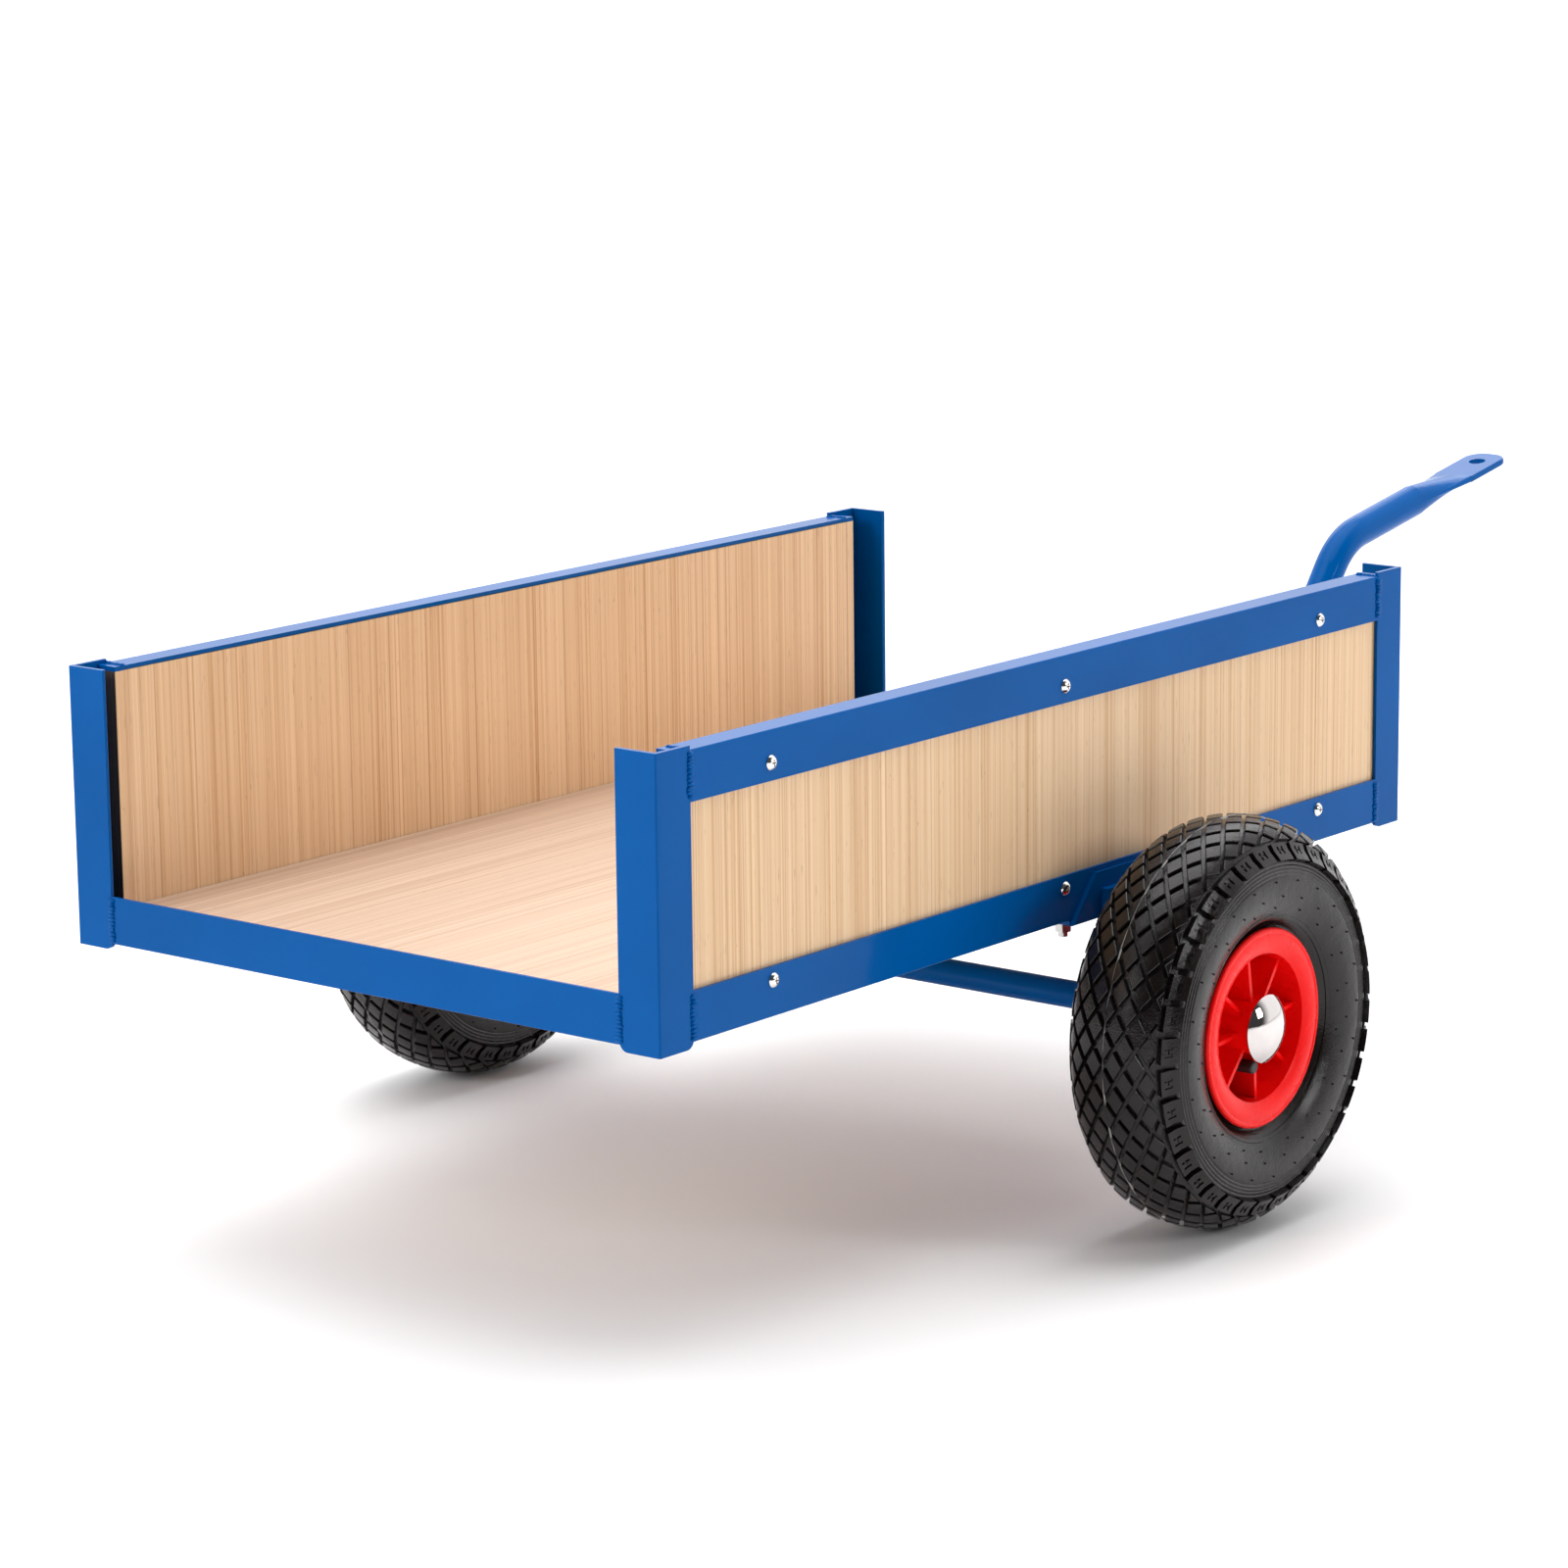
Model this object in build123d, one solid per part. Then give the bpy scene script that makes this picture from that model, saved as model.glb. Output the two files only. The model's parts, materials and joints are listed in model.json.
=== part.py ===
from build123d import *
import math
import os

# Single-axle hand cart: a welded angle-steel box with plywood floor and sides,
# open at both ends, on two pneumatic wheels, with a tubular drawbar.
# Millimetres. X across the cart, Y from the open end (-) to the drawbar (+), Z up.
# The origin is on the ground, under the middle of the whole cart.

# ---------------------------------------------------------------- driving sizes
# deck frame
DECK_WIDTH = 470.0            # over the side frames
DECK_LENGTH = 782.0           # over the end faces of the corner posts
ANGLE_LEG = 30.0              # posts, bottom rails and cross-members
ANGLE_WALL = 3.0
FRAME_HEIGHT = 169.0          # bottom rail underside to top rail top
POST_RISE = 2.5               # posts stand above the top rails
POST_DROP = 3.5               # posts reach below the bottom rails
HEEL_RADIUS = 1.2             # outer corner of a rolled angle
TOE_RADIUS = 1.2              # inner corners at the tips of its legs
POST_FOOT_RADIUS = 6.0        # softened lower corners of the posts

# plywood
PLY = 15.0
SLOT_WIDTH = 19.0             # gap for a slide-in end board
FLOOR_GAP = 0.5               # floor to side panels and end legs

# panel screws
SCREW_END_INSET = 80.0        # outer screws, from the end of a side panel
SCREW_EDGE = 21.8             # from the lower edge of a bottom rail, upper edge of a post
SCREW_HEAD_D = 9.0
SCREW_HEAD_H = 2.4
SCREW_SHANK_D = 4.5
SCREW_LENGTH = 15.0
SCREW_CLEARANCE = 0.25        # radial, in the steel
HEAD_EDGE = 0.6               # height of a head's straight edge
HEAD_CROWN = (0.72, 0.82)     # point of its dome, as shares of radius and height
RECESS_LENGTH = 3.8           # cross recess in a head
RECESS_WIDTH = 0.9
RECESS_FLOOR = 0.45           # as a share of the head's height

# running gear
TYRE_D = 260.0
TYRE_WIDTH = 79.0
AXLE_DROP = 63.0              # axle centre below the bottom rails
AXLE_Y = 58.0                 # axle behind the middle of the deck
TYRE_CLEARANCE = 31.5         # axle plate to tyre
AXLE_D = 18.0
JOURNAL_STEP = 1.0            # radial, bar to journal
RUNNING_FIT = 0.05            # radial, bush on journal
END_PLAY = 0.3                # hub to thrust washer, hub to cap

# axle brackets
BRACKET_LENGTH = 106.0        # along the horizontal leg
BRACKET_LEG = 30.0
BRACKET_SLOPE = 26.0          # how far the cut end leans
PLATE_WALL = 5.0
PLATE_TOP_WIDTH = 46.0
PLATE_TOP = 16.0              # above the bottom rail underside
PLATE_EYE_WALL = 12.0         # around the axle bar
BOLT_D = 6.0
BOLT_INSET = 10.0             # from the end of the bracket
BOLT_SIDE_INSET = 12.0        # from the deck side
BOLT_LENGTH = 16.0
NUT_AF = 10.0
NUT_H = 5.0
WASHER_D = 12.0
WASHER_H = 1.6
HOLE_CLEARANCE = 0.2          # radial, bolts in their holes

# drawbar
BAR_D = 24.0
BAR_WALL = 2.0
BAR_COPE = 2.0                # how deep the bar is coped over the axle bar
BAR_OVERHANG = 13.0           # of the bar beyond the axle's centre
KNEE_IN = 101.0               # bar dips towards the axle, in front of the deck's rear end
NECK_OUT = 186.0              # foot of the steep part, behind the deck
SHOULDER_OUT = 295.0          # top of the steep part
SHOULDER_Z = 129.5            # above the bottom rail underside
CRIMP_OUT = 457.0             # where the flattened end begins
CRIMP_Z = 158.0
CRIMP_BLEND = 62.0            # length over which the tube flattens
TONGUE_LENGTH = 57.0
TONGUE_WIDTH = 34.0
TONGUE_WALL = 5.0
TONGUE_EDGE = 1.8             # rounding along the tongue
TIP_ROUND = 14.0              # its two outer corners
PIN_HOLE_D = 13.0
PIN_HOLE_FROM_TIP = 21.5
BEND_RADIUS = 60.0
BAR_BOLT_D = 8.0
BAR_NUT_AF = 13.0
BAR_NUT_H = 6.5
NUT_BEVEL = 1.6                # widening of the cone that bevels a nut, per height
THREAD_PAST_NUT = 3.0

# wheel
BEAD_R = 50.8
FLANGE_HEIGHT = 12.2          # above the bead seat
RIM_HALF = 31.0               # half width over the flanges
FLANGE_ROLL = (1.8, 0.2, 1.5) # top of the rolled flange, its nose and its root, along the axle
FLANGE_FALL = (2.0, 3.5, 8.0) # below the flange's top: inner edge, nose and outer face
BARREL_WALL = 4.0
HUB_WALL = 5.0
HUB_HALF = 30.0
BUSH_WALL = 4.0
BUSH_LENGTH = 24.0
BUSH_FLANGE = 3.0             # beyond the sleeve
BUSH_FLANGE_H = 1.5
WEB_WALL = 5.0
BORE_ROOM = 1.5               # radial, hub bore between the bushes
RIB_COUNT = 8
RIB_WALL = 2.6
RIB_OUTER_INSET = 9.0         # rib's edge inside the rim's edge, at the barrel
RIB_INNER_INSET = 7.0         # and at the hub
RIB_LAP = 1.0                 # rib's ends inside barrel and hub
RIB_PHASE = 6.0               # degrees, first rib from straight up
CAP_D = 43.0
CAP_HEIGHT = 8.0
CAP_WALL = 0.9
CAP_KNEE = (0.74, 0.62)       # point of its dome, as shares of height and radius
CAP_SKIRT = 1.2               # height of its edge
CAP_LIP = 2.4                 # edge to the inside of the dome
CAP_UNDERCUT = 0.6
WASHER_WALL = 1.5
WASHER_PLAY = 0.1             # radial
VALVE_ANGLE = -12.5           # degrees from straight down; plus is towards the drawbar
VALVE_SEAT_R = 25.0           # distance of the turned-up valve from the axle
VALVE_X = 8.0                 # its radial part, outboard of the wheel's middle
VALVE_REACH = 15.0            # how far it then runs outwards
VALVE_D = 6.0
VALVE_BEND = 6.0
VALVE_IN = 5.0                # stem's end inside the tube, beyond the bead seat
VALVE_CAP_LAP = 7.0           # of the cap over the stem
VALVE_CAP_ROUND = 1.5
VALVE_CAP_D = 8.4
VALVE_CAP_H = 12.0
TUBE_WALL = 2.0
TUBE_HALF = 23.5              # half width of the inner tube
TUBE_GAP = 1.2                # inner tube to the rim and to the tyre's crown
TREAD_WALL = 10.0             # tyre wall under the crown
BEAD_WIDTH = 7.0
BEAD_PLAY = 0.5               # tyre's foot to the rim's flange
FOOT_OUTER = 11.0             # heights above the bead seat: outer and inner end of the foot,
FOOT_INNER = 13.0
BULGE_OUTER = 41.0            # and the widest place outside and inside
BULGE_INNER = 42.0
CHEEK = (8.0, 13.0)           # in from the side and below the crown: upper sidewall,
SHOULDER = (16.5, 3.6)        # and edge of the tread
SIDE_WALL = 7.0               # tyre wall at its widest
SOFT_GAP = 0.3                # between soft parts and what holds them

# ---------------------------------------------------------------- derived places
HALF_W = DECK_WIDTH / 2
HALF_L = DECK_LENGTH / 2
TOP_LEG = ANGLE_WALL + PLY                      # narrow upper leg of the top rails
TYRE_R = TYRE_D / 2
RAIL_Z = TYRE_R + AXLE_DROP                     # underside of the bottom rails
TOP_Z = RAIL_Z + FRAME_HEIGHT
POST_BOTTOM = RAIL_Z - POST_DROP
POST_TOP = TOP_Z + POST_RISE
POST_INNER = HALF_L - ANGLE_LEG                 # edge of a post's side leg
PANEL_END = HALF_L - ANGLE_WALL - SLOT_WIDTH
PANEL_FACE = HALF_W - ANGLE_WALL - PLY          # inner face of a side panel
PANEL_BOTTOM = RAIL_Z + ANGLE_WALL
PANEL_TOP = TOP_Z - ANGLE_WALL
SCREW_PITCH = PANEL_END - SCREW_END_INSET
PLATE_X = HALF_W + ANGLE_WALL                   # inner face of an axle plate
WHEEL_X = PLATE_X + PLATE_WALL + TYRE_CLEARANCE + TYRE_WIDTH / 2
JOURNAL_D = AXLE_D - 2 * JOURNAL_STEP
PLATE_EYE_R = AXLE_D / 2 + PLATE_EYE_WALL
BUSH_R = JOURNAL_D / 2 + BUSH_WALL
BUSH_FLANGE_R = BUSH_R + BUSH_FLANGE
HUB_R = BUSH_R + HUB_WALL
FLANGE_R = BEAD_R + FLANGE_HEIGHT
KNEE_Y = HALF_L - KNEE_IN
NECK_Y = HALF_L + NECK_OUT
SHOULDER_Y = HALF_L + SHOULDER_OUT
CRIMP_Y = HALF_L + CRIMP_OUT
TONGUE_LEAN = math.atan2(CRIMP_Z - SHOULDER_Z, CRIMP_OUT - SHOULDER_OUT)
TIP_OUT = CRIMP_OUT + TONGUE_LENGTH * math.cos(TONGUE_LEAN)
TIP_OUT += (TONGUE_WALL / 2 - TONGUE_EDGE) * math.sin(TONGUE_LEAN)
MIDDLE_Y = TIP_OUT / 2                          # middle of the whole cart
BRACKET_FRONT = AXLE_Y - BRACKET_LENGTH / 2
BRACKET_BACK = AXLE_Y + BRACKET_LENGTH / 2
SHOULDER_X = WHEEL_X - HUB_HALF - BUSH_FLANGE_H - END_PLAY - WASHER_WALL   # end of the full bar
JOURNAL_END = WHEEL_X + HUB_HALF + BUSH_FLANGE_H + 2.0
BAR_Z = RAIL_Z - BAR_D / 2                      # bar centre under the rear cross-member
BAR_BOLT_Y = HALF_L - ANGLE_LEG / 2
BARREL_R = BEAD_R - BARREL_WALL


# ---------------------------------------------------------------- small helpers
def block(x0, x1, y0, y1, z0, z1):
    """A box between two corners."""
    size = Box(x1 - x0, y1 - y0, z1 - z0)
    return Pos((x0 + x1) / 2, (y0 + y1) / 2, (z0 + z1) / 2) * size


def rod(radius, start, end):
    """A round bar between two points."""
    start = Vector(*start)
    direction = Vector(*end) - start
    plane = Plane(origin=start, z_dir=direction)
    return extrude(plane * Circle(radius), direction.length)


def hexagon(across_flats, start, end):
    """A hexagonal prism between two points."""
    start = Vector(*start)
    direction = Vector(*end) - start
    plane = Plane(origin=start, z_dir=direction)
    outline = RegularPolygon(across_flats / 2, 6, major_radius=False)
    return extrude(plane * outline, direction.length)


def cone(radius_start, radius_end, start, end):
    """A cone frustum between two points."""
    start = Vector(*start)
    direction = Vector(*end) - start
    plane = Plane(origin=start, z_dir=direction)
    height = direction.length
    profile = Polyline((0, 0), (radius_start, 0), (radius_end, height), (0, height), close=True)
    turned = revolve(Plane.XZ * make_face(profile), Axis.Z)
    return plane.location * turned


def both_sides(shape):
    """The right-hand shape and its mirror image on the left."""
    return {"right": shape, "left": mirror(shape, about=Plane.YZ)}


def nearest(section, point):
    """The corner of a flat section nearest to a point of its plane."""
    return sorted(section.vertices(), key=lambda v: math.hypot(v.X - point[0], v.Y - point[1]))[0]


def angle_section(leg_u, leg_v):
    """An angle section with its heel at the origin and its legs along +u and +v."""
    wall = ANGLE_WALL
    outline = Polyline((0, 0), (leg_u, 0), (leg_u, wall), (wall, wall), (wall, leg_v), (0, leg_v),
                       close=True)
    section = Sketch() + make_face(outline)
    section = fillet(nearest(section, (0, 0)), HEEL_RADIUS)
    section = fillet(nearest(section, (leg_u, wall)), TOE_RADIUS)
    section = fillet(nearest(section, (wall, leg_v)), TOE_RADIUS)
    return section


# ---------------------------------------------------------------- deck frame
def corner_post():
    """Right-hand post at the drawbar end; its outer corner is the corner of the deck."""
    plane = Plane(origin=(HALF_W, HALF_L, POST_BOTTOM), x_dir=(-1, 0, 0), z_dir=(0, 0, 1))
    post = extrude(plane * angle_section(ANGLE_LEG, ANGLE_LEG), POST_TOP - POST_BOTTOM)
    foot = POST_FOOT_RADIUS
    low = POST_BOTTOM - 1
    high = POST_BOTTOM + foot
    tip_x = HALF_W - ANGLE_LEG
    corner = block(tip_x - 1, tip_x + foot, HALF_L - ANGLE_WALL - 1, HALF_L + 1, low, high)
    post -= corner - rod(foot, (tip_x + foot, HALF_L - ANGLE_LEG, high), (tip_x + foot, HALF_L + 2, high))
    tip_y = HALF_L - ANGLE_LEG
    corner = block(HALF_W - ANGLE_WALL - 1, HALF_W + 1, tip_y - 1, tip_y + foot, low, high)
    post -= corner - rod(foot, (HALF_W - ANGLE_LEG, tip_y + foot, high), (HALF_W + 2, tip_y + foot, high))
    return post


def bottom_rail():
    """Right-hand bottom rail; its flat leg runs on into the posts."""
    plane = Plane(origin=(HALF_W, 0, RAIL_Z), x_dir=(-1, 0, 0), z_dir=(0, 1, 0))
    rail = extrude(plane * angle_section(ANGLE_LEG, ANGLE_LEG), POST_INNER, both=True)
    for end in (-1, 1):
        near, far = sorted((end * POST_INNER, end * (HALF_L - ANGLE_WALL)))
        rail += block(HALF_W - ANGLE_LEG, HALF_W - ANGLE_WALL, near, far, RAIL_Z, RAIL_Z + ANGLE_WALL)
    for y, z in screw_places()[:3]:
        rail -= screw_hole(y, z)
    for y in bolt_rows():
        rail -= countersunk_hole(HALF_W - BOLT_SIDE_INSET, y, BOLT_D)
    return rail


def top_rail():
    """Right-hand top rail; its narrow leg covers the side panel's upper edge."""
    plane = Plane(origin=(HALF_W, 0, TOP_Z), x_dir=(0, 0, -1), z_dir=(0, 1, 0))
    rail = extrude(plane * angle_section(ANGLE_LEG, TOP_LEG), POST_INNER, both=True)
    for end in (-1, 1):
        near, far = sorted((end * POST_INNER, end * PANEL_END))
        rail += block(PANEL_FACE, HALF_W - ANGLE_WALL, near, far, PANEL_TOP, TOP_Z)
    for y, z in screw_places()[3:]:
        rail -= screw_hole(y, z)
    return rail


def cross_member(end):
    """Cross-member between two posts; the flat leg faces inwards."""
    half = HALF_W - ANGLE_LEG
    plane = Plane(origin=(0, end * HALF_L, RAIL_Z), x_dir=(0, -end, 0), z_dir=(-end, 0, 0))
    bar = extrude(plane * angle_section(ANGLE_LEG, ANGLE_LEG), half, both=True)
    if end > 0:
        bar -= countersunk_hole(0, BAR_BOLT_Y, BAR_BOLT_D)
    return bar


# ---------------------------------------------------------------- plywood and screws
def floor_panel():
    half_w = PANEL_FACE - FLOOR_GAP
    half_l = HALF_L - ANGLE_WALL - FLOOR_GAP
    return block(-half_w, half_w, -half_l, half_l, RAIL_Z + ANGLE_WALL, RAIL_Z + ANGLE_WALL + PLY)


def side_panel():
    panel = block(PANEL_FACE, HALF_W - ANGLE_WALL, -PANEL_END, PANEL_END, PANEL_BOTTOM, PANEL_TOP)
    for y, z in screw_places():
        panel -= rod(SCREW_SHANK_D / 2, (HALF_W - SCREW_LENGTH, y, z), (HALF_W, y, z))
    return panel


def screw_places():
    """Lower row, then upper row, as (y, z)."""
    rows = (RAIL_Z + SCREW_EDGE, POST_TOP - SCREW_EDGE)
    return [(step * SCREW_PITCH, z) for z in rows for step in (-1, 0, 1)]


def screw_hole(y, z):
    radius = SCREW_SHANK_D / 2 + SCREW_CLEARANCE
    return rod(radius, (HALF_W - ANGLE_WALL - 1, y, z), (HALF_W + 1, y, z))


def panel_screw(y, z):
    """Round-head screw, driven from outside; its tip stays inside the panel."""
    shank = rod(SCREW_SHANK_D / 2, (HALF_W - SCREW_LENGTH, y, z), (HALF_W, y, z))
    radius = SCREW_HEAD_D / 2
    height = SCREW_HEAD_H
    crown = (radius * HEAD_CROWN[0], height * HEAD_CROWN[1])
    dome = ThreePointArc((0.0, height), crown, (radius, HEAD_EDGE))
    outline = dome + Polyline((radius, HEAD_EDGE), (radius, 0), (0, 0), (0, height))
    head = revolve(Plane.XZ * make_face(outline), Axis.Z)
    head = Location((HALF_W, y, z), (0, 90, 0)) * head
    recess = recess_bar(y, z, RECESS_LENGTH, RECESS_WIDTH) + recess_bar(y, z, RECESS_WIDTH, RECESS_LENGTH)
    return shank + head - recess


def recess_bar(y, z, length, width):
    floor = HALF_W + SCREW_HEAD_H * RECESS_FLOOR
    long, wide = length / 2, width / 2
    return block(floor, HALF_W + SCREW_HEAD_H + 1, y - long, y + long, z - wide, z + wide)


# ---------------------------------------------------------------- axle brackets
def bolt_rows():
    return (BRACKET_FRONT + BOLT_INSET, BRACKET_BACK - BOLT_INSET)


def countersunk_hole(x, y, bolt_d):
    """Through a flat leg, with the countersink on its upper face."""
    radius = bolt_d / 2 + HOLE_CLEARANCE
    top = RAIL_Z + ANGLE_WALL
    hole = rod(radius, (x, y, RAIL_Z - 1), (x, y, top + 1))
    return hole + cone(radius, bolt_d + HOLE_CLEARANCE, (x, y, top - bolt_d / 2), (x, y, top))


def countersunk_bolt(x, y, bolt_d, length):
    """Head flush with the upper face of the leg."""
    top = RAIL_Z + ANGLE_WALL
    head = cone(bolt_d / 2, bolt_d, (x, y, top - bolt_d / 2), (x, y, top))
    return head + rod(bolt_d / 2, (x, y, top - length), (x, y, top - bolt_d / 2))


def ring(outer_d, inner_r, x, y, z_top, height):
    shape = rod(outer_d / 2, (x, y, z_top - height), (x, y, z_top))
    return shape - rod(inner_r, (x, y, z_top - height - 1), (x, y, z_top + 1))


def hex_nut(across_flats, bolt_d, x, y, z_top, height):
    nut = hexagon(across_flats, (x, y, z_top - height), (x, y, z_top))
    bevel = cone(across_flats * 0.5, across_flats * 0.5 + height * NUT_BEVEL,
                 (x, y, z_top - height - 0.2), (x, y, z_top))
    nut = nut & bevel
    return nut - rod(bolt_d / 2, (x, y, z_top - height - 1), (x, y, z_top + 1))


def axle_bracket():
    """Right-hand angle that hugs the bottom rail's lower outer corner, its ends cut at a slant."""
    outer = HALF_W + ANGLE_WALL
    low = RAIL_Z - ANGLE_WALL
    plane = Plane(origin=(outer, AXLE_Y, low), x_dir=(-1, 0, 0), z_dir=(0, 1, 0))
    bracket = extrude(plane * angle_section(BRACKET_LEG, BRACKET_LEG), BRACKET_LENGTH / 2, both=True)
    high = low + BRACKET_LEG
    for end in (-1, 1):
        tip = AXLE_Y + end * BRACKET_LENGTH / 2
        corner = Polyline((tip, low), (tip - end * BRACKET_SLOPE, high + 1), (tip + end, high + 1),
                          (tip + end, low), close=True)
        wedge = extrude(Plane.YZ.offset(HALF_W) * make_face(corner), ANGLE_WALL + 1)
        bracket -= wedge
    for y in bolt_rows():
        x = HALF_W - BOLT_SIDE_INSET
        bracket -= rod(BOLT_D / 2 + HOLE_CLEARANCE, (x, y, low - 1), (x, y, RAIL_Z + 1))
    return bracket


def axle_plate():
    """Upright plate welded to the bracket; its round lower end holds the axle bar."""
    half = PLATE_TOP_WIDTH / 2
    top = RAIL_Z + PLATE_TOP
    centre_z = TYRE_R
    rise = top - centre_z
    reach = math.hypot(half, rise)
    lean = math.atan2(half, rise) + math.acos(PLATE_EYE_R / reach)
    touch_y = PLATE_EYE_R * math.sin(lean)
    touch_z = centre_z + PLATE_EYE_R * math.cos(lean)
    left = (AXLE_Y - touch_y, touch_z)
    right = (AXLE_Y + touch_y, touch_z)
    bottom = (AXLE_Y, centre_z - PLATE_EYE_R)
    outline = Polyline(left, (AXLE_Y - half, top), (AXLE_Y + half, top), right)
    outline += ThreePointArc(right, bottom, left)
    plate = extrude(Plane.YZ.offset(PLATE_X) * make_face(outline), PLATE_WALL)
    return plate - rod(AXLE_D / 2, (0, AXLE_Y, centre_z), (PLATE_X + PLATE_WALL + 1, AXLE_Y, centre_z))


def axle_bar():
    """Round bar with a turned journal at each end."""
    bar = rod(AXLE_D / 2, (-SHOULDER_X, AXLE_Y, TYRE_R), (SHOULDER_X, AXLE_Y, TYRE_R))
    bar += rod(JOURNAL_D / 2, (-JOURNAL_END, AXLE_Y, TYRE_R), (JOURNAL_END, AXLE_Y, TYRE_R))
    return bar


# ---------------------------------------------------------------- drawbar
def drawbar_points():
    """Corners of the bar's centre line in the plane x = 0, from the axle to the tongue."""
    saddle_z = TYRE_R + AXLE_D / 2 + BAR_D / 2 - BAR_COPE
    slope = (BAR_Z - saddle_z) / (KNEE_Y - AXLE_Y)
    foot = (AXLE_Y - BAR_OVERHANG, saddle_z - slope * BAR_OVERHANG)
    blend_y = CRIMP_Y - CRIMP_BLEND * math.cos(TONGUE_LEAN)
    blend_z = RAIL_Z + CRIMP_Z - CRIMP_BLEND * math.sin(TONGUE_LEAN)
    return [foot, (KNEE_Y, BAR_Z), (NECK_Y, BAR_Z), (SHOULDER_Y, RAIL_Z + SHOULDER_Z), (blend_y, blend_z)]


def drawbar():
    points = [(0, y, z) for y, z in drawbar_points()]
    path = FilletPolyline(*points, radius=BEND_RADIUS)
    start = Plane(origin=path @ 0, z_dir=path % 0)
    tube = sweep(start * Circle(BAR_D / 2), path=path)
    bore = sweep(start * Circle(BAR_D / 2 - BAR_WALL), path=path)
    tube = tube - bore
    # the front end is coped to sit on the axle bar
    tube -= rod(AXLE_D / 2, (-BAR_D, AXLE_Y, TYRE_R), (BAR_D, AXLE_Y, TYRE_R))
    tube += tongue(path @ 1)
    radius = BAR_BOLT_D / 2 + HOLE_CLEARANCE
    tube -= rod(radius, (0, BAR_BOLT_Y, RAIL_Z - BAR_D - 1), (0, BAR_BOLT_Y, RAIL_Z + 1))
    tube -= countersunk_hole(0, BAR_BOLT_Y, BAR_BOLT_D)
    return tube


def tongue(root):
    """Flattened end with the hitch-pin hole, in line with the tube that it blends out of."""
    along = Vector(0, math.cos(TONGUE_LEAN), math.sin(TONGUE_LEAN))
    upward = Vector(0, -math.sin(TONGUE_LEAN), math.cos(TONGUE_LEAN))
    crimp = Vector(0, CRIMP_Y, RAIL_Z + CRIMP_Z)
    mouth = Plane(origin=root, x_dir=(1, 0, 0), z_dir=along) * Circle(BAR_D / 2)
    slab = Plane(origin=crimp, x_dir=(1, 0, 0), z_dir=along) * SlotOverall(TONGUE_WIDTH, TONGUE_WALL)
    half = TONGUE_WIDTH / 2
    tip = TONGUE_LENGTH
    outline = Sketch() + make_face(Polyline((-half, 0), (half, 0), (half, tip), (-half, tip), close=True))
    for side in (-1, 1):
        outline = fillet(nearest(outline, (side * half, tip)), TIP_ROUND)
    face = Plane(origin=crimp, x_dir=(1, 0, 0), z_dir=upward)
    flat = extrude(face * outline, TONGUE_WALL / 2, both=True)
    rims = [edge for edge in flat.edges() if is_tongue_rim(face.to_local_coords(edge @ 0.5))]
    flat = fillet(rims, TONGUE_EDGE)
    hole = crimp + along * (TONGUE_LENGTH - PIN_HOLE_FROM_TIP)
    reach = upward * TONGUE_WALL
    return loft([mouth, slab]) + flat - rod(PIN_HOLE_D / 2, hole - reach, hole + reach)


def is_tongue_rim(place):
    """An edge of the flat's outline, on its upper or lower face, away from the crimp."""
    return place.Y > 1 and abs(place.Z) > TONGUE_WALL / 2 - 0.1


# ---------------------------------------------------------------- wheel (axis along X, centre at the origin)
def spin(outline):
    """Turn an outline of (x, radius) points about the wheel's axis."""
    return revolve(Plane.XZ * make_face(outline), Axis.X)


def disc(half_width, radius):
    return rod(radius, (-half_width, 0, 0), (half_width, 0, 0))


def tyre():
    half = TYRE_WIDTH / 2
    foot = RIM_HALF - BARREL_WALL - BEAD_PLAY
    heel = foot - BEAD_WIDTH
    edge = (half - SHOULDER[0], TYRE_R - SHOULDER[1])
    cheek = (half - CHEEK[0], TYRE_R - CHEEK[1])
    outer = Spline((foot, BEAD_R + FOOT_OUTER), (half, BEAD_R + BULGE_OUTER), cheek, edge,
                   tangents=((0.75, 1), (-1, 0.5)))
    crown = ThreePointArc(edge, (0, TYRE_R), (-edge[0], edge[1]))
    inner_half = half - SIDE_WALL
    inner = Spline((heel, BEAD_R + FOOT_INNER), (inner_half, BEAD_R + BULGE_INNER), (0, TYRE_R - TREAD_WALL),
                   (-inner_half, BEAD_R + BULGE_INNER), (-heel, BEAD_R + FOOT_INNER))
    bead = Polyline((foot, BEAD_R + FOOT_OUTER), (foot, BEAD_R + SOFT_GAP), (heel, BEAD_R + SOFT_GAP),
                    (heel, BEAD_R + FOOT_INNER))
    pieces = [outer, crown, mirror(outer, about=Plane.YZ), inner, bead, mirror(bead, about=Plane.YZ)]
    return spin(Curve() + pieces)


def inner_tube():
    """Rubber tube inside the tyre, with the hole that its valve stem closes."""
    low = BEAD_R + TUBE_GAP
    high = TYRE_R - TREAD_WALL - TUBE_GAP
    height = (high - low) / 2
    section = Ellipse(TUBE_HALF, height) - Ellipse(TUBE_HALF - TUBE_WALL, height - TUBE_WALL)
    skin = revolve(Plane.XZ * Pos(0, (high + low) / 2) * section, Axis.X)
    return skin - valve_frame() * rod(VALVE_D / 2, (VALVE_X, 0, -low + 2), (VALVE_X, 0, -low - 8))


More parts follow.
